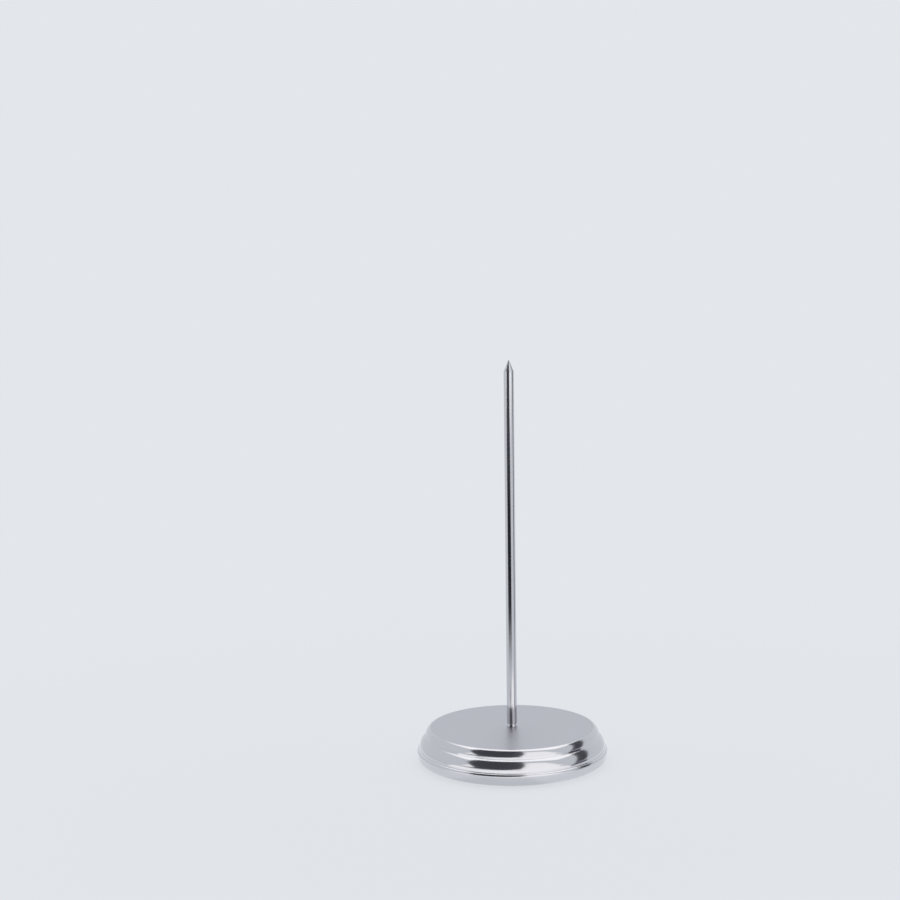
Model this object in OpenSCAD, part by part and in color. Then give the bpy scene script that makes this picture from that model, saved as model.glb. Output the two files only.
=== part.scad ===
// Bill spike: a pointed steel rod on a weighted round base, for holding paid bills and slips of paper.
// The origin is the middle of the underside, where the part stands on the desk. +Z runs up the spike.

/* [Spike] */
// Diameter of the rod
spike_d = 4; // [3.8:0.1:6]
// Length of the rod above the top plate, up to the point
spike_len = 147; // [100:1:180]
// Length of the ground point
point_len = 4.5; // [3:0.5:12]
// Diameter of the blunted end of the point
tip_d = 0.4; // [0.2:0.1:1]
// Height of the collar at the rod's foot
foot_h = 0.7; // [0.4:0.1:1.2]
// Width of the turned groove above the collar
groove_w = 0.6; // [0.4:0.1:0.8]
// Depth of the turned groove above the collar
groove_d = 0.35; // [0.2:0.05:0.35]
// Diameter of the threaded tail under the shoulder
tail_d = 3; // [2.5:0.1:3.1]

/* [Base] */
// Diameter over the bottom band
base_d = 76; // [70:1:90]
// Height of the base from the desk to the top plate
base_h = 14; // [13.5:0.5:20]
// Thickness of the pressed sheet of the shell and the pan
sheet_t = 0.6; // [0.5:0.1:0.8]

/* [Tiers] */
// Distance of the upper tier's wall inside the bottom band
upper_inset = 3.4; // [3:0.1:5]
// Radius of the upper tier's rounded wall
upper_round = 3.3; // [2.8:0.1:3.8]
// Height faced off the upper tier's round to leave a crisp plate edge
edge_cut = 0.4; // [0.2:0.1:0.8]
// Depth of the step below the top plate
step_drop = 2.9; // [2.7:0.1:3.6]
// Radius of the lower tier's rounded wall
lower_round = 4.5; // [4:0.1:5]

/* [Pan] */
// Height of the bottom band
band_h = 4.9; // [4.2:0.1:5.2]
// Outer radius of the bend that turns the band's edge in against the shell
lip_round = 1; // [0.9:0.1:1.4]
// Outer radius of the band's bottom corner
band_corner = 2; // [1.4:0.1:2.4]
// Inside diameter of the pressed-up nut recess
recess_d = 12.4; // [11:0.2:16]

/* [Fastening] */
// Width of the nut across its flats
nut_af = 5.5; // [5:0.1:6.5]
// Height of the nut
nut_h = 2.4; // [2:0.1:2.6]
// Outside diameter of the plain washer
washer_d = 7; // [6.6:0.1:9]
// Thickness of the plain washer
washer_t = 0.5; // [0.4:0.1:0.8]
// Outside diameter of the spring washer
spring_d = 5.6; // [5.2:0.1:6.4]
// Thickness of the spring washer
spring_t = 0.8; // [0.5:0.1:1]
// Angle of the gap in the spring washer
spring_gap = 14; // [8:1:24]

/* [Pad] */
// Thickness of the non-slip pad
pad_t = 0.8; // [0.6:0.1:1.2]
// Distance of the pad's edge inside the band's bottom corner
pad_inset = 2; // [1:0.5:6]

/* [Fits] */
// Radial gap between the tail and the holes that it passes through
hole_clear = 0.05; // [0.03:0.01:0.1]
// Radial gap between the shell's skirt and the pan's turned-in edge
skirt_clear = 0.05; // [0.05:0.05:0.2]
// Gap kept around the ballast inside the shell and above the pan's floor
ballast_clear = 0.3; // [0.2:0.1:0.6]

/* [Hidden] */
$fn = 180;

chrome = [0.78, 0.79, 0.81];
cast_iron = [0.25, 0.25, 0.26];
zinc = [0.66, 0.67, 0.66];
foam = [0.13, 0.13, 0.14];

base_r = base_d / 2;
tail_r = tail_d / 2;
hole_r = tail_r + hole_clear;
// Extra length that lets a cutting shape pass through a face
through = 1;
// Length of thread left below the nut
thread_over = 0.6;
// Free height between the end of the tail and the pad
tail_gap = 1.2;
// Chamfer at the end of the tail
tail_chamfer = 0.4;

// Heights of the clamped stack, from the desk up
tail_end_z = pad_t + tail_gap;
nut_z = tail_end_z + thread_over;
spring_z = nut_z + nut_h;
washer_z = spring_z + spring_t;
recess_z = washer_z + washer_t;
clamp_z = recess_z + sheet_t;
plate_under_z = base_h - sheet_t;
floor_z = pad_t + sheet_t;

// Tiers of the shell: radii of the walls and heights where the rounds turn upright
lower_r = base_r - lip_round - skirt_clear;
upper_r = base_r - upper_inset;
upper_turn_z = base_h - upper_round + edge_cut;
lower_turn_z = base_h - step_drop - lower_round;
skirt_z = pad_t + band_corner;

// Pan
band_top_z = pad_t + band_h;
corner_r = base_r - band_corner;
recess_r = recess_d / 2;

// Ballast
ballast_r = upper_r - sheet_t - ballast_clear;
ballast_chamfer = upper_round - edge_cut;

// Half of a rounded tier, seen in section from the axis out
module tier(wall_r, round_r, turn_z, bottom_z) {
    translate([wall_r - round_r, turn_z]) circle(r = round_r);
    translate([0, bottom_z]) square([wall_r - round_r, turn_z + round_r - bottom_z]);
    translate([0, bottom_z]) square([wall_r, turn_z - bottom_z]);
}

// Section of the solid that the shell's face encloses, drawn inwards by inset
module shell_section(inset) {
    intersection() {
        union() {
            tier(upper_r - inset, upper_round - inset, upper_turn_z, skirt_z);
            tier(lower_r - inset, lower_round - inset, lower_turn_z, skirt_z);
        }
        translate([0, skirt_z]) square([base_r, base_h - inset - skirt_z]);
    }
}

// Section of the sheet where it turns from upright to level, up and inwards
module bend(outer_r) {
    intersection() {
        difference() {
            circle(r = outer_r);
            circle(r = outer_r - sheet_t);
        }
        square([outer_r, outer_r]);
    }
}

// Flat ring on the axis
module ring(outer_r, inner_r, z, h) {
    translate([0, 0, z]) difference() {
        cylinder(h = h, r = outer_r);
        translate([0, 0, -through]) cylinder(h = h + 2 * through, r = inner_r);
    }
}

module spike() {
    spike_r = spike_d / 2;
    foot_top_z = base_h + foot_h;
    shank_top_z = base_h + spike_len - point_len;
    color(chrome) rotate_extrude() polygon([
        [0, tail_end_z],
        [tail_r - tail_chamfer, tail_end_z],
        [tail_r, tail_end_z + tail_chamfer],
        [tail_r, base_h],
        [spike_r, base_h],
        [spike_r, foot_top_z],
        [spike_r - groove_d, foot_top_z + groove_w / 2],
        [spike_r, foot_top_z + groove_w],
        [spike_r, shank_top_z],
        [tip_d / 2, base_h + spike_len],
        [0, base_h + spike_len]
    ]);
}

module base_shell() {
    color(chrome) difference() {
        rotate_extrude() difference() {
            shell_section(0);
            translate([0, -through]) square([lower_r - sheet_t, skirt_z + 2 * through]);
            shell_section(sheet_t);
        }
        translate([0, 0, plate_under_z - through]) cylinder(h = sheet_t + 2 * through, r = hole_r);
    }
}

module ballast_disc() {
    bottom_z = floor_z + ballast_clear;
    color(cast_iron) difference() {
        rotate_extrude() polygon([
            [0, bottom_z],
            [ballast_r, bottom_z],
            [ballast_r, plate_under_z - ballast_chamfer],
            [ballast_r - ballast_chamfer, plate_under_z],
            [0, plate_under_z]
        ]);
        translate([0, 0, bottom_z - through])
            cylinder(h = clamp_z - bottom_z + through, r = recess_r + sheet_t + ballast_clear);
        translate([0, 0, clamp_z - through]) cylinder(h = plate_under_z - clamp_z + 2 * through, r = hole_r);
    }
}

module bottom_pan() {
    lip_z = band_top_z - lip_round;
    color(chrome) rotate_extrude() {
        // Wall, the edge turned in at its top, and the bottom corner
        translate([base_r - sheet_t, skirt_z]) square([sheet_t, lip_z - skirt_z]);
        translate([base_r - lip_round, lip_z]) bend(lip_round);
        translate([corner_r, skirt_z]) mirror([0, 1]) bend(band_corner);
        // Floor, then the side and the top of the nut recess
        translate([recess_r, pad_t]) square([corner_r - recess_r, sheet_t]);
        translate([recess_r, pad_t]) square([sheet_t, clamp_z - pad_t]);
        translate([hole_r, recess_z]) square([recess_r + sheet_t - hole_r, sheet_t]);
    }
}

module plain_washer() {
    color(zinc) ring(washer_d / 2, hole_r, washer_z, washer_t);
}

module spring_washer() {
    color(zinc) translate([0, 0, spring_z]) rotate([0, 0, spring_gap / 2])
        rotate_extrude(angle = 360 - spring_gap)
            translate([hole_r, 0]) square([spring_d / 2 - hole_r, spring_t]);
}

module hex_nut() {
    corner_d = nut_af / cos(30);
    // Rise of the chamfer that takes the corners off both faces of the nut
    bevel_h = (corner_d - nut_af) / 2 * tan(30);
    color(zinc) difference() {
        intersection() {
            translate([0, 0, nut_z]) cylinder(h = nut_h, d = corner_d, $fn = 6);
            translate([0, 0, nut_z]) rotate_extrude() polygon([
                [0, 0],
                [nut_af / 2, 0],
                [corner_d / 2, bevel_h],
                [corner_d / 2, nut_h - bevel_h],
                [nut_af / 2, nut_h],
                [0, nut_h]
            ]);
        }
        translate([0, 0, nut_z - through]) cylinder(h = nut_h + 2 * through, r = hole_r);
    }
}

module non_slip_pad() {
    color(foam) cylinder(h = pad_t, r = corner_r - pad_inset);
}

spike();
base_shell();
ballast_disc();
bottom_pan();
plain_washer();
spring_washer();
hex_nut();
non_slip_pad();
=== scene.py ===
import math

import bpy
from mathutils import Matrix, Vector


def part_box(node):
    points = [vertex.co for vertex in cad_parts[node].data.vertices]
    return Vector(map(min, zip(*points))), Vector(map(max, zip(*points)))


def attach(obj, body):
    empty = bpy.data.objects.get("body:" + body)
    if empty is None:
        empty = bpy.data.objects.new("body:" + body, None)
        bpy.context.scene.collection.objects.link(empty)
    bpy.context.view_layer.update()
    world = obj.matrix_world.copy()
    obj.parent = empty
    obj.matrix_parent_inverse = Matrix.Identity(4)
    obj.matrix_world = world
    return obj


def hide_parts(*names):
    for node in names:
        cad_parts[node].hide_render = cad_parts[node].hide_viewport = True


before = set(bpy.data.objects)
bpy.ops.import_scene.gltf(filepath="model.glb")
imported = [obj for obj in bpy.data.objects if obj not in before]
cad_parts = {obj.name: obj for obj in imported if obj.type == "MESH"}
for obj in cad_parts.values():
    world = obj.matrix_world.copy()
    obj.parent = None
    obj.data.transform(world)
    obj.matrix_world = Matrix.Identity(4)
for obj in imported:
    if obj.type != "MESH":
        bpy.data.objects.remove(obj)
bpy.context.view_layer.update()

MM = 0.001

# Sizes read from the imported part, in metres
BASE_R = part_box("bottom_pan")[1].x
PAN_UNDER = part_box("bottom_pan")[0].z
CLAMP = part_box("bottom_pan")[1].z
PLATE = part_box("base_shell")[1].z
SKIRT_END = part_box("base_shell")[0].z
LOWER_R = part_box("base_shell")[1].x
TAIL_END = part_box("spike")[0].z
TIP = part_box("spike")[1].z
ROD_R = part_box("spike")[1].x
PAD_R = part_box("non_slip_pad")[1].x
PAD_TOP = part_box("non_slip_pad")[1].z

# Sizes of the pressed sheet, the tiers and the rod, as in the part's own source
SHEET = 0.6 * MM
UPPER_INSET = 3.4 * MM
UPPER_ROUND = 3.3 * MM
EDGE_CUT = 0.4 * MM
STEP_DROP = 2.9 * MM
LOWER_ROUND = 4.5 * MM
BAND_H = 4.9 * MM
LIP_ROUND = 1.0 * MM
BAND_CORNER = 2.0 * MM
RECESS_R = 6.2 * MM
TAIL_R = 1.5 * MM
TAIL_CHAMFER = 0.4 * MM
HOLE_CLEAR = 0.05 * MM
POINT_LEN = 4.5 * MM
TIP_R = 0.2 * MM
GROOVE_DEPTH = 0.35 * MM

UPPER_R = BASE_R - UPPER_INSET
UPPER_TURN = PLATE - UPPER_ROUND + EDGE_CUT
LOWER_TURN = PLATE - STEP_DROP - LOWER_ROUND
BAND_TOP = PAN_UNDER + BAND_H
HOLE_R = TAIL_R + HOLE_CLEAR
SHANK_TOP = TIP - POINT_LEN

# The rod's foot above the plate: its collar, then the deepest place and the upper end of its groove
FOOT_TOP = PLATE + 0.6 * MM
GROOVE_FLOOR = PLATE + 1.15 * MM
GROOVE_TOP = PLATE + 1.35 * MM

# Broken edges and bends that real pieces have
PLATE_EDGE = 0.4 * MM
STEP_FILLET = 0.03 * MM
SEAM_FILLET = 0.06 * MM
BURR = 0.12 * MM
BEND = 0.5 * MM
ROD_EDGE = 0.05 * MM
PAD_EDGE = 0.2 * MM


# Turned meshes

BASE_FACES = 384
ROD_FACES = 96
PAD_FACES = 192
SHARP = math.radians(38)
ON_AXIS = 1e-7
SUPPORT = 0.15 * MM
LONG_RUN = 6 * SUPPORT


def arc(centre, radius, start, end, steps=12):
    """Points of an arc in the (r, z) plane, from start to end degrees."""
    angles = [math.radians(start + (end - start) * i / steps) for i in range(steps + 1)]
    return [(centre[0] + radius * math.cos(a), centre[1] + radius * math.sin(a)) for a in angles]


def filleted(corners, steps=6):
    """A closed outline of straight runs, where each corner is (r, z, fillet radius)."""
    points = []
    for i, (r, z, fillet) in enumerate(corners):
        here = Vector((r, z))
        if not fillet:
            points.append((r, z))
            continue
        before = Vector(corners[i - 1][:2]) - here
        after = Vector(corners[(i + 1) % len(corners)][:2]) - here
        half = before.angle(after) / 2
        reach = fillet / math.tan(half)
        inwards = (before.normalized() + after.normalized()).normalized()
        middle = here + inwards * (fillet / math.sin(half))
        first = here + before.normalized() * reach - middle
        last = here + after.normalized() * reach - middle
        swing = first.angle_signed(last)
        for k in range(steps + 1):
            turn = -swing * k / steps
            c, s = math.cos(turn), math.sin(turn)
            points.append((middle.x + c * first.x - s * first.y, middle.y + s * first.x + c * first.y))
    return points


def supported(outline):
    """The closed outline with a point close to both ends of each long run, so that flats shade flat."""
    points = []
    for a, b in zip(outline, outline[1:] + outline[:1]):
        a, b = Vector(a), Vector(b)
        run = b - a
        points.append(tuple(a))
        if run.length > LONG_RUN:
            points.append(tuple(a + run.normalized() * SUPPORT))
            points.append(tuple(b - run.normalized() * SUPPORT))
    return points


def turned(name, outline, segments):
    """A solid of revolution about the Z axis from a closed (r, z) outline, with smooth shading."""
    outline = supported(outline)
    # The faces look outwards only where the outline runs up its outer side
    if sum(a[0] * b[1] - b[0] * a[1] for a, b in zip(outline, outline[1:] + outline[:1])) < 0:
        outline.reverse()
    verts, faces, rings = [], [], []
    for r, z in outline:
        if r < ON_AXIS:
            rings.append([len(verts)] * segments)
            verts.append((0.0, 0.0, z))
            continue
        rings.append(range(len(verts), len(verts) + segments))
        for k in range(segments):
            a = 2 * math.pi * k / segments
            verts.append((r * math.cos(a), r * math.sin(a), z))
    for lower, upper in zip(rings, rings[1:] + rings[:1]):
        for k in range(segments):
            n = (k + 1) % segments
            corners = list(dict.fromkeys((lower[k], lower[n], upper[n], upper[k])))
            if len(corners) > 2:
                faces.append(corners)
    mesh = bpy.data.meshes.new(name)
    mesh.from_pydata(verts, [], faces)
    mesh.validate()
    mesh.shade_smooth()
    mesh.set_sharp_from_angle(angle=SHARP)
    piece = bpy.data.objects.new(name, mesh)
    bpy.context.scene.collection.objects.link(piece)
    return piece


def dress(piece, node, finish):
    """Puts a new piece in the place of its CAD node."""
    piece.data.materials.append(finish)
    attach(piece, "root")
    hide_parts(node)


# Shader maths

class Value:
    """A socket that takes part in Python arithmetic: each operation adds one Math node."""

    def __init__(self, tree, socket):
        self.tree = tree
        self.socket = socket

    def math(self, operation, first, second):
        return Finish.wire(self.tree, "ShaderNodeMath", {"operation": operation}, {0: first, 1: second})

    def __add__(self, other):
        return self.math("ADD", self, other)

    def __radd__(self, other):
        return self.math("ADD", other, self)

    def __sub__(self, other):
        return self.math("SUBTRACT", self, other)

    def __rsub__(self, other):
        return self.math("SUBTRACT", other, self)

    def __mul__(self, other):
        return self.math("MULTIPLY", self, other)

    def __rmul__(self, other):
        return self.math("MULTIPLY", other, self)

    def __truediv__(self, other):
        return self.math("DIVIDE", self, other)

    def __rtruediv__(self, other):
        return self.math("DIVIDE", other, self)

    def __pow__(self, other):
        return self.math("POWER", self, other)

    def __rpow__(self, other):
        return self.math("POWER", other, self)


class Finish:
    """A material under construction."""

    def __init__(self, name):
        self.material = bpy.data.materials.new(name)
        self.material.use_nodes = True
        self.tree = self.material.node_tree
        self.tree.nodes.clear()

    @staticmethod
    def wire(tree, kind, settings=None, inputs=None, output=0):
        """One node of any type: its settings first, then the values or links of its sockets."""
        made = tree.nodes.new(kind)
        for key, setting in (settings or {}).items():
            setattr(made, key, setting)
        for key, given in (inputs or {}).items():
            if isinstance(given, Value):
                tree.links.new(given.socket, made.inputs[key])
            else:
                made.inputs[key].default_value = given
        return Value(tree, made.outputs[output]) if made.outputs else None

    def node(self, kind, settings=None, inputs=None, output=0):
        return self.wire(self.tree, kind, settings, inputs, output)

    def place(self):
        """The point on the piece, and its x, y, z and distance from the axis."""
        point = self.node("ShaderNodeTexCoord", output="Object")
        x = self.node("ShaderNodeSeparateXYZ", inputs={0: point}, output="X")
        y = self.node("ShaderNodeSeparateXYZ", inputs={0: point}, output="Y")
        z = self.node("ShaderNodeSeparateXYZ", inputs={0: point}, output="Z")
        r = (x * x + y * y + 1e-12) ** 0.5
        return point, x, y, z, r

    def noise(self, point, scale, detail=2.0, roughness=0.5):
        sizes = {"Vector": point, "Scale": scale, "Detail": detail, "Roughness": roughness}
        return self.node("ShaderNodeTexNoise", {"normalize": True}, sizes)

    def step(self, value, low, high):
        """0 below low, 1 above high, and a smooth rise between them."""
        ends = {"Value": value, "From Min": low, "From Max": high, "To Min": 0.0, "To Max": 1.0}
        return self.node("ShaderNodeMapRange", {"interpolation_type": "SMOOTHSTEP"}, ends)

    def blend(self, amount, first, second):
        """A mix of two colours, each a value or an (r, g, b)."""
        as_colour = [c if isinstance(c, Value) else (*c, 1.0) for c in (first, second)]
        inputs = {"Factor": amount, 6: as_colour[0], 7: as_colour[1]}
        return self.node("ShaderNodeMix", {"data_type": "RGBA"}, inputs, output=2)

    def bump(self, height, distance, strength):
        inputs = {"Height": height, "Distance": distance, "Strength": strength}
        return self.node("ShaderNodeBump", None, inputs)

    def rings(self, x, y, z, r, around, across):
        """Fine marks that run round the piece, as polishing and turning leave them."""
        trail = {"X": x / r * around, "Y": y / r * around, "Z": (r - z) * across}
        marks = self.node("ShaderNodeCombineXYZ", None, trail)
        return self.noise(marks, scale=1.0, detail=3.0, roughness=0.6)

    def shine(self, colour, level):
        """A light of its own in an (r, g, b) colour."""
        return self.node("ShaderNodeEmission", None, {"Color": (*colour, 1.0), "Strength": level})

    def mixed(self, amount, first, second):
        """A mix of two shaders."""
        return self.node("ShaderNodeMixShader", None, {0: amount, 1: first, 2: second})

    def ended(self, shader):
        """The material, ended with this shader."""
        self.node("ShaderNodeOutputMaterial", None, {"Surface": shader})
        return self.material

    def surface(self, **sockets):
        """The material, ended with one Principled shader. An underscore stands for a space in a name."""
        inputs = {key.replace("_", " "): value for key, value in sockets.items()}
        return self.ended(self.node("ShaderNodeBsdfPrincipled", None, inputs))


# Finishes

CHROME_LIGHT = (0.630, 0.628, 0.658)
CHROME_DEEP = (0.596, 0.594, 0.625)
SATIN = (0.546, 0.544, 0.586)
# Painted light for the pan's seam: a brighter colour that lifts the shade in the crease
SEAM_PAINTED_LIGHT = (0.790, 0.790, 0.810)
IRON_LIGHT = (0.150, 0.150, 0.155)
IRON_DEEP = (0.075, 0.075, 0.080)
RUST = (0.17, 0.075, 0.035)
ZINC_BLUE = (0.52, 0.54, 0.56)
ZINC_YELLOW = (0.60, 0.58, 0.50)
FOAM = (0.022, 0.022, 0.024)
FOAM_DUST = (0.050, 0.050, 0.053)

# Where the satin ends on the plate, and where the ground point starts on the rod
SATIN_END = 32.5 * MM
SATIN_GONE = 32.8 * MM
GROUND_START = SHANK_TOP - 0.2 * MM
GROUND_FULL = SHANK_TOP + 0.1 * MM


def plated_shell():
    """Bright plating on the tiers, and a fine turned satin on the flat top plate."""
    f = Finish("plated_shell")
    point, x, y, z, r = f.place()
    on_plate = f.step(z, PLATE - 0.3 * MM, PLATE - 0.2 * MM)
    top = (1.0 - f.step(r, SATIN_END, SATIN_GONE)) * on_plate
    fine = f.rings(x, y, z, r, around=2.5, across=5200.0)
    broad = f.rings(x, y, z, r, around=1.2, across=900.0)
    cloud = f.noise(point, scale=60.0, detail=3.0)
    smear = f.step(f.noise(point, scale=140.0, detail=4.0, roughness=0.6), 0.52, 0.80)
    colour = f.blend(top, f.blend(cloud, CHROME_DEEP, CHROME_LIGHT), SATIN)
    polished = 0.13 + smear * 0.03 + fine * 0.02
    satin = 0.36 + fine * 0.06 + broad * 0.04
    marks = fine * (0.06 + top * 0.94) + broad * top * 0.4
    return f.surface(
        Base_Color=colour,
        Metallic=1.0,
        Roughness=polished + top * (satin - polished),
        Normal=f.bump(marks, distance=0.004 * MM, strength=0.35),
    )


def plated_band():
    """The same plating on the pan, more worn along its lip and bottom corner, with painted light in the
    seam: a brighter colour there lifts the shade that falls in the crease.
    """
    f = Finish("plated_band")
    point, x, y, z, r = f.place()
    fine = f.rings(x, y, z, r, around=3.0, across=4200.0)
    cloud = f.noise(point, scale=60.0, detail=3.0)
    rub = f.step(f.noise(point, scale=420.0, detail=4.0, roughness=0.65), 0.50, 0.75)
    low = 1.0 - f.step(z, PAN_UNDER, PAN_UNDER + 1.2 * MM)
    lip = f.step(z, BAND_TOP - 1.0 * MM, BAND_TOP - 0.7 * MM)
    # Painted light: the seam at the top of the band gets a brighter colour against the shade in the
    # crease
    seam = f.step(z, BAND_TOP - 0.25 * MM, BAND_TOP - 0.10 * MM)
    plating = f.blend(cloud, CHROME_DEEP, CHROME_LIGHT)
    return f.surface(
        Base_Color=f.blend(seam, plating, SEAM_PAINTED_LIGHT),
        Metallic=1.0,
        Roughness=0.14 + fine * 0.04 + rub * 0.03 + low * rub * 0.16 + lip * 0.03,
        Normal=f.bump(fine, distance=0.003 * MM, strength=0.15),
    )


def polished_rod():
    """Bright drawn and polished rod, with a ground point."""
    f = Finish("polished_rod")
    point, x, y, z, r = f.place()
    drawn = {"X": x * 9000.0, "Y": y * 9000.0, "Z": z * 60.0}
    lines = f.noise(f.node("ShaderNodeCombineXYZ", None, drawn), scale=1.0)
    ground = f.rings(x, y, z, r, around=2.0, across=9000.0)
    point_mask = f.step(z, GROUND_START, GROUND_FULL)
    smear = f.step(f.noise(point, scale=220.0, detail=4.0, roughness=0.6), 0.5, 0.8)
    marks = lines * (1.0 - point_mask) * 0.3 + ground * point_mask
    return f.surface(
        Base_Color=f.blend(f.noise(point, scale=90.0), CHROME_DEEP, CHROME_LIGHT),
        Metallic=1.0,
        Roughness=0.10 + lines * 0.03 + smear * 0.03 + point_mask * (0.08 + ground * 0.10),
        Normal=f.bump(marks, distance=0.003 * MM, strength=0.2),
    )


def cast_weight():
    """Rough cast iron, as it left the mould, with a film of oil and a little rust."""
    f = Finish("cast_weight")
    point = f.place()[0]
    sand = f.noise(point, scale=900.0, detail=6.0, roughness=0.65)
    lumps = f.noise(point, scale=160.0, detail=3.0)
    rust = f.step(f.noise(point, scale=75.0, detail=5.0, roughness=0.6), 0.58, 0.78)
    iron = f.blend(lumps, IRON_DEEP, IRON_LIGHT)
    return f.surface(
        Base_Color=f.blend(rust * 0.6, iron, RUST),
        Metallic=0.75,
        Roughness=0.55 + sand * 0.25 + rust * 0.12,
        Normal=f.bump(sand + lumps * 0.8, distance=0.08 * MM, strength=0.6),
    )


def zinc_fastener():
    """Bright zinc plating with a faint yellow and blue passivation."""
    f = Finish("zinc_fastener")
    point, x, y, z, r = f.place()
    tint = f.noise(point, scale=500.0, detail=3.0)
    turned_marks = f.rings(x, y, z, r, around=3.0, across=12000.0)
    return f.surface(
        Base_Color=f.blend(tint, ZINC_BLUE, ZINC_YELLOW),
        Metallic=1.0,
        Roughness=0.26 + tint * 0.10 + turned_marks * 0.06,
        Normal=f.bump(turned_marks, distance=0.006 * MM, strength=0.4),
    )


def foam_pad():
    """Closed-cell foam, cut from sheet: fine cells, matt, with a dusty face."""
    f = Finish("foam_pad")
    point = f.place()[0]
    cells = f.node("ShaderNodeTexVoronoi", {"feature": "SMOOTH_F1"}, {"Vector": point, "Scale": 2600.0})
    dust = f.noise(point, scale=120.0, detail=5.0, roughness=0.6)
    return f.surface(
        Base_Color=f.blend(dust, FOAM, FOAM_DUST),
        Roughness=0.82 + dust * 0.12,
        Normal=f.bump(cells, distance=0.06 * MM, strength=0.7),
    )


# Pieces

def shell_outline():
    """Section of the shell: from the rod's hole over both tiers to the skirt, then back inside."""
    upper = Vector((UPPER_R - UPPER_ROUND, UPPER_TURN))
    lower = Vector((LOWER_R - LOWER_ROUND, LOWER_TURN))
    # The plate's broken edge touches the flat plate and the upper tier's round
    edge_z = PLATE - PLATE_EDGE
    edge_r = upper.x + math.sqrt((UPPER_ROUND - PLATE_EDGE) ** 2 - (edge_z - upper.y) ** 2)
    edge_end = math.degrees(math.atan2(edge_z - upper.y, edge_r - upper.x))
    # The fillet of the step touches the upper wall and the lower tier's round
    step_r = UPPER_R + STEP_FILLET
    step_z = lower.y + math.sqrt((LOWER_ROUND + STEP_FILLET) ** 2 - (step_r - lower.x) ** 2)
    step_end = math.degrees(math.atan2(step_z - lower.y, step_r - lower.x))
    inner_r = LOWER_R - SHEET
    outline = [(HOLE_R, PLATE - BURR), (HOLE_R + BURR, PLATE)]
    outline += arc((edge_r, edge_z), PLATE_EDGE, 90, edge_end, 8)
    outline += arc(upper, UPPER_ROUND, edge_end, 0, 28)[1:]
    outline += arc((step_r, step_z), STEP_FILLET, 180, 180 + step_end, 10)
    outline += arc(lower, LOWER_ROUND, step_end, 0, 32)[1:]
    outline += arc((LOWER_R - BURR, SKIRT_END + BURR), BURR, 0, -90, 4)
    outline += arc((inner_r + BURR, SKIRT_END + BURR), BURR, -90, -180, 4)
    top_inside = PLATE - SHEET
    step_inside = math.degrees(math.acos((UPPER_R - SHEET - lower.x) / (LOWER_ROUND - SHEET)))
    edge_inside = math.degrees(math.asin((top_inside - upper.y) / (UPPER_ROUND - SHEET)))
    outline += arc(lower, LOWER_ROUND - SHEET, 0, step_inside, 16)
    outline += arc(upper, UPPER_ROUND - SHEET, 0, edge_inside, 12)
    return outline + [(HOLE_R, top_inside)]


shell = turned("shell", shell_outline(), BASE_FACES)
dress(shell, "base_shell", plated_shell())


def pan_outline():
    """Section of the pan: bottom corner, band, edge turned in to the shell, floor and nut recess."""
    corner = (BASE_R - BAND_CORNER, PAN_UNDER + BAND_CORNER)
    lip = (BASE_R - LIP_ROUND, BAND_TOP - LIP_ROUND)
    floor = PAN_UNDER + SHEET
    floor_r = corner[0] - 2 * MM
    recess_top = CLAMP - SHEET
    outer_bend = BEND + SHEET / 2
    cup = filleted([
        (floor_r, floor, 0),
        (RECESS_R + SHEET, floor, BEND),
        (RECESS_R + SHEET, CLAMP, outer_bend),
        (HOLE_R, CLAMP, 0),
        (HOLE_R, recess_top, 0),
        (RECESS_R, recess_top, BEND),
        (RECESS_R, PAN_UNDER, outer_bend),
        (floor_r, PAN_UNDER, 0),
    ])
    # A small fillet of plating closes the seam between the lip and the shell
    seam_r = LOWER_R + SEAM_FILLET
    seam_z = lip[1] + math.sqrt((LIP_ROUND + SEAM_FILLET) ** 2 - (seam_r - lip[0]) ** 2)
    seam_end = math.degrees(math.atan2(seam_z - lip[1], seam_r - lip[0]))
    outline = arc(corner, BAND_CORNER, -90, 0, 16)
    outline += arc(lip, LIP_ROUND, 0, seam_end, 20)
    outline += arc((seam_r, seam_z), SEAM_FILLET, 180 + seam_end, 180, 8)[1:]
    outline.append((LOWER_R, BAND_TOP - SHEET))
    outline += arc(lip, LIP_ROUND - SHEET, 90, 0, 12)
    outline += arc(corner, BAND_CORNER - SHEET, 0, -90, 12)
    return outline + cup


pan = turned("band_pan", pan_outline(), BASE_FACES)
dress(pan, "bottom_pan", plated_band())


def rod_outline():
    """Half section of the rod from the end of its tail up to the blunted point."""
    slope = math.degrees(math.atan2(ROD_R - TIP_R, TIP - SHANK_TOP))
    outline = [
        (0.0, TAIL_END),
        (TAIL_R - TAIL_CHAMFER, TAIL_END),
        (TAIL_R, TAIL_END + TAIL_CHAMFER),
        (TAIL_R, PLATE),
    ]
    outline += filleted([
        (TAIL_R, PLATE, 0),
        (ROD_R, PLATE, ROD_EDGE),
        (ROD_R, FOOT_TOP, ROD_EDGE),
        (ROD_R - GROOVE_DEPTH, GROOVE_FLOOR, ROD_EDGE),
        (ROD_R, GROOVE_TOP, ROD_EDGE),
        (ROD_R, SHANK_TOP, 0),
    ])[1:]
    outline += arc((0.0, TIP - TIP_R), TIP_R, slope, 90, 6)
    return outline


rod = turned("rod", rod_outline(), ROD_FACES)
dress(rod, "spike", polished_rod())

pad_outline = filleted([
    (0.0, 0.0, 0),
    (PAD_R, 0.0, PAD_EDGE),
    (PAD_R, PAD_TOP, PAD_EDGE),
    (0.0, PAD_TOP, 0),
])
pad = turned("pad", pad_outline, PAD_FACES)
dress(pad, "non_slip_pad", foam_pad())

for node, finish in {
    "ballast_disc": cast_weight(),
    "plain_washer": zinc_fastener(),
    "spring_washer": zinc_fastener(),
    "hex_nut": zinc_fastener(),
}.items():
    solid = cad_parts[node].data
    solid.materials.clear()
    solid.materials.append(finish)


# Studio

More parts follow.
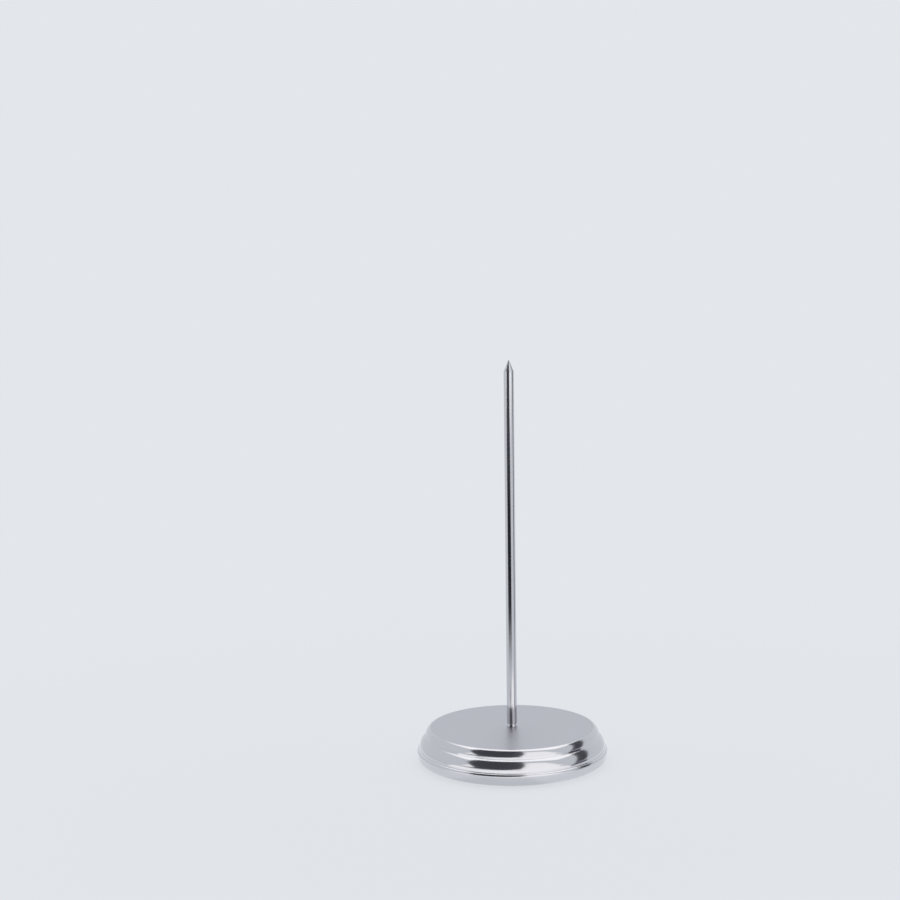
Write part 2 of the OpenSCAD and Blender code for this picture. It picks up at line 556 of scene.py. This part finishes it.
PAPER = (0.770, 0.790, 0.815)
SKY = (0.768, 0.799, 0.831)
PLAIN = (1.0, 1.0, 1.0)
SHADE_TINT = (0.93, 0.95, 1.10)
NEAR_TINT = (0.97, 1.0, 1.04)

# Levels of light, where 1 is white: the boards, the cards on the table, the softbox and the air
DARK = 0.075
HALF_DARK = 0.42
DEEP_SHADE = 0.02
WHITE = 1.28
TABLE = 1.30
FAR_TABLE = 1.08
NEAR_SHADED = 0.785
NEAR_LIT = 0.90
LOW_CARD = 0.95
SIDE_CARD = 1.27
SOFTBOX = 0.85
SOFTBOX_BACK = 0.60
FILL = 0.85

# The share of plain paper in the floor close to the part, and where that share fades
PAPER_SHARE = 0.2
FADE_START = 0.06
FADE_END = 0.36

# Places in metres: half the floor's width, the boards' distances, and rings of table round the part
FLOOR = 4.0
FRONT = -0.70
BEHIND = FRONT - 0.01
ROOF = 0.40
SIDE = 0.35
ON_TABLE = 0.0004
NEAR = 0.053
MIDWAY = 0.088
SHADE_NEAR = 0.100
CORNER_FAR = 0.110
FAR = 0.150


def glow(name, level, colour=PLAIN):
    """An even light of its own, for cards that only the metal sees."""
    f = Finish(name)
    return f.ended(f.shine(colour, level))


def card(name, corners, material, metal_only=True):
    """A flat card in the studio, given by its corners in metres."""
    mesh = bpy.data.meshes.new(name)
    mesh.from_pydata(corners, [], [list(range(len(corners)))])
    board = bpy.data.objects.new(name, mesh)
    bpy.context.scene.collection.objects.link(board)
    mesh.materials.append(material)
    if metal_only:
        board.visible_camera = False
        board.visible_diffuse = False
        board.visible_shadow = False
        board.visible_transmission = False


def upright(name, edge, depth, material):
    """A board that stands across the front, from the (x, z) points round its edge."""
    card(name, [(x, depth, z) for x, z in edge], material)


def laid(name, edge, height, material):
    """A board that lies flat, from the (x, y) points round its edge."""
    card(name, [(x, y, height) for x, y in edge], material)


def low_board(name, left, right, left_top, right_top, level):
    """A low card that stands on the table between two (x, y) points, with a height at each end."""
    edge = [(*left, 0.0), (*right, 0.0), (*right, right_top), (*left, left_top)]
    card(name, edge, glow(name + "_glow", level))


def round_part(radius, start, end, steps=24):
    """Points at one distance from the axis; 0 degrees is straight in front."""
    angles = [math.radians(start + (end - start) * i / steps) for i in range(steps + 1)]
    return [(radius * math.sin(a), -radius * math.cos(a)) for a in angles]


def floor_paper():
    """Pale paper that turns into the background's own light further out, so that no edge shows."""
    f = Finish("floor_paper")
    r = f.place()[4]
    far = (1.0 - PAPER_SHARE) + PAPER_SHARE * f.step(r, FADE_START, FADE_END)
    paper = f.node("ShaderNodeBsdfDiffuse", None, {"Color": (*PAPER, 1.0)})
    return f.ended(f.mixed(far, paper, f.shine(SKY, 1.0)))


def shade(name, start, full, lean=None):
    """A shade on the table, deeper from start to full along the (x, y) lean or with the distance."""
    f = Finish(name)
    _, x, y, _, r = f.place()
    reach = x * lean[0] + y * lean[1] if lean else r
    clear = f.node("ShaderNodeBsdfTransparent")
    return f.ended(f.mixed(f.step(reach, start, full), clear, f.shine(SHADE_TINT, DEEP_SHADE)))


def near_paper():
    """Painted light of the table close round the part, which only the metal sees and which holds none of
    the part's shadow, with painted shade in front of it where it is a little duller.
    """
    f = Finish("near_table_glow")
    x = f.place()[1]
    # Painted shade: the ring is duller in front, where the dark board shades the table, and lit at the
    # sides
    side = f.step(x, 0.008, 0.018) + f.step(x * -1.0, 0.018, 0.031)
    return f.ended(f.mixed(side, f.shine(NEAR_TINT, NEAR_SHADED), f.shine(NEAR_TINT, NEAR_LIT)))


floor_edge = [(-FLOOR, -FLOOR, 0), (FLOOR, -FLOOR, 0), (FLOOR, FLOOR, 0), (-FLOOR, FLOOR, 0)]
card("floor", floor_edge, floor_paper(), metal_only=False)

# Boards in front of the part: a dark one that widens upwards under a dark roof,
# with a white one on each side
dark = glow("dark_board", DARK, SHADE_TINT)
white = glow("white_board", WHITE)
upright("dark_front", [
    (-1.100, 0.0),
    (0.175, 0.0),
    (0.160, 0.050),
    (0.115, 0.065),
    (0.139, 0.154),
    (0.170, 0.286),
    (0.195, 0.442),
    (0.230, 0.714),
    (0.250, 1.030),
    (0.280, 1.600),
    (-1.620, 1.600),
    (-1.272, 1.007),
    (-1.106, 0.719),
    (-0.870, 0.321),
    (-0.770, 0.170),
    (-0.715, 0.075),
    (-0.800, 0.055),
    (-1.040, 0.040),
], FRONT, dark)
laid("dark_roof", [
    (-0.440, -0.230),
    (0.080, -0.225),
    (0.068, -0.160),
    (0.048, -0.105),
    (0.000, -0.092),
    (-0.090, -0.072),
    (-0.180, -0.020),
    (-0.264, -0.076),
    (-0.345, -0.145),
    (-0.414, -0.200),
], ROOF, dark)
upright("white_front", [
    (0.050, 0.045),
    (1.500, 0.045),
    (1.190, 0.250),
    (1.020, 0.450),
    (0.950, 0.900),
    (0.820, 1.260),
    (0.480, 1.330),
    (0.240, 1.170),
], BEHIND, white)
upright("white_strip", [
    (-1.550, 0.0),
    (-0.700, 0.0),
    (-0.900, 0.450),
    (-1.060, 0.590),
    (-1.190, 0.250),
], BEHIND, white)

# A narrow dark flag at the right that leans back, and its painted shade on the table from near the part
card("dark_flag", [(SIDE, y, z) for y, z in [
    (-0.075, 0.0),
    (0.046, 0.0),
    (0.080, 0.085),
    (0.133, 0.175),
    (0.250, 0.305),
    (0.440, 0.460),
    (0.305, 0.605),
    (0.141, 0.410),
    (0.027, 0.240),
    (-0.037, 0.110),
]], dark)
# Painted shade of the flag, laid on the table close to the part
laid("painted_flag_shade_near", [
    (0.0415, -0.0345),
    (0.0620, -0.0345),
    (0.0800, -0.0360),
    (0.0800, -0.0100),
    (0.0515, -0.0165),
], 2 * ON_TABLE, dark)
# Half-dark painted shade of the flag in the middle of the table
laid("painted_flag_shade_middle", [
    (0.080, -0.036),
    (0.240, -0.060),
    (0.240, 0.012),
    (0.080, -0.012),
], 2 * ON_TABLE, glow("half_dark_board", HALF_DARK, SHADE_TINT))
laid("flag_shade", [
    (0.240, -0.060),
    (SIDE, -0.070),
    (SIDE, 0.046),
    (0.240, 0.012),
], 2 * ON_TABLE, dark)

# Painted light on the table, which only the metal sees: brighter in front of the part, fainter further
# out at the right, and the ring of table close round the part without the part's shadow
table_edge = round_part(NEAR, -58, 52) + round_part(MIDWAY, 52, -58)
laid("bright_table", table_edge, ON_TABLE, glow("table_glow", TABLE))
far_edge = round_part(MIDWAY, 12, 46) + round_part(FAR, 46, 12)
laid("far_table", far_edge, ON_TABLE, glow("far_table_glow", FAR_TABLE))
laid("near_table", round_part(NEAR, 0, 360, 72)[:-1], 0.5 * ON_TABLE, near_paper())

# The dark board's shade on the table: a long one in front, and a short deep one at its left corner
long_edge = round_part(SHADE_NEAR, -60, 9)
long_edge += [(0.098, -0.35), (0.205, FRONT), (-1.210, FRONT), (-0.606, -0.35)]
long_shade = shade("long_shade", start=0.115, full=0.29)
laid("long_shade", long_edge, 1.5 * ON_TABLE, long_shade)
corner_edge = round_part(NEAR, -37, -8) + round_part(CORNER_FAR, -8, -37)
corner_shade = shade("corner_shade", start=0.036, full=0.093, lean=(-0.97, -0.26))
laid("corner_shade", corner_edge, 2 * ON_TABLE, corner_shade)

# A low pale card between the table and the dark board, higher at its right, and beside it a white one,
# so that the tiers stay white at the right of the dark bands
low_left = (-0.0155, -0.0866)
low_right = (0.0138, -0.0869)
side_right = (0.0644, -0.0600)
low_board("low_card", low_left, low_right, left_top=0.003, right_top=0.014, level=LOW_CARD)
low_board("side_card", low_right, side_right, left_top=0.013, right_top=0.013, level=SIDE_CARD)

# A softbox above the part, with a faint glow over it that only the metal sees, a painted highlight on
# the softbox's own
softbox = bpy.data.lights.new("softbox", "AREA")
softbox.shape = "RECTANGLE"
softbox.size = 0.76
softbox.size_y = 0.52
softbox.energy = SOFTBOX * math.pi * softbox.size * softbox.size_y
lamp = bpy.data.objects.new("softbox", softbox)
lamp.location = (0.02, 0.16, 0.50)
lamp.visible_camera = False
bpy.context.scene.collection.objects.link(lamp)
half_w = softbox.size / 2
half_d = softbox.size_y / 2
back_edge = [
    (lamp.location.x + half_w * i, lamp.location.y + half_d * j)
    for i, j in ((-1, -1), (1, -1), (1, 1), (-1, 1))
]
back_glow = glow("softbox_back_glow", SOFTBOX_BACK)
laid("softbox_back", back_edge, lamp.location.z + 10 * ON_TABLE, back_glow)

world = bpy.data.worlds.new("studio")
bpy.context.scene.world = world
world.use_nodes = True
world.node_tree.nodes.clear()


def studio_air(tree):
    """The background's own colour for the eye and the metal, and a softer fill on everything matt."""
    seen = Finish.wire(tree, "ShaderNodeLightPath", output="Is Camera Ray")
    seen = seen + Finish.wire(tree, "ShaderNodeLightPath", output="Is Glossy Ray")
    seen = seen + Finish.wire(tree, "ShaderNodeLightPath", output="Is Transmission Ray")
    fill = Finish.wire(tree, "ShaderNodeBackground", None, {"Color": (*SKY, 1.0), "Strength": FILL})
    sky = Finish.wire(tree, "ShaderNodeBackground", None, {"Color": (*SKY, 1.0), "Strength": 1.0})
    mixed = Finish.wire(tree, "ShaderNodeMixShader", None, {0: seen, 1: fill, 2: sky})
    Finish.wire(tree, "ShaderNodeOutputWorld", None, {"Surface": mixed})


studio_air(world.node_tree)

# Camera at the photograph's angle: where it stands, the point in the middle of the picture,
# a slight roll, and its lens and picture width in millimetres
STAND = Vector((0.0, -0.7366, 0.22116))
MIDDLE = Vector((-0.02334, 0.0, 0.12579))
ROLL = math.radians(-0.768)
LENS = 75.62
PICTURE_W = 36.0

eye = bpy.data.cameras.new("camera")
eye.sensor_width = PICTURE_W
eye.lens = LENS
camera = bpy.data.objects.new("camera", eye)
turn = (MIDDLE - STAND).to_track_quat("-Z", "Y").to_matrix().to_4x4()
camera.matrix_world = Matrix.Translation(STAND) @ turn @ Matrix.Rotation(ROLL, 4, "Z")
bpy.context.scene.collection.objects.link(camera)
bpy.context.scene.camera = camera

bpy.context.scene.view_settings.view_transform = "Standard"
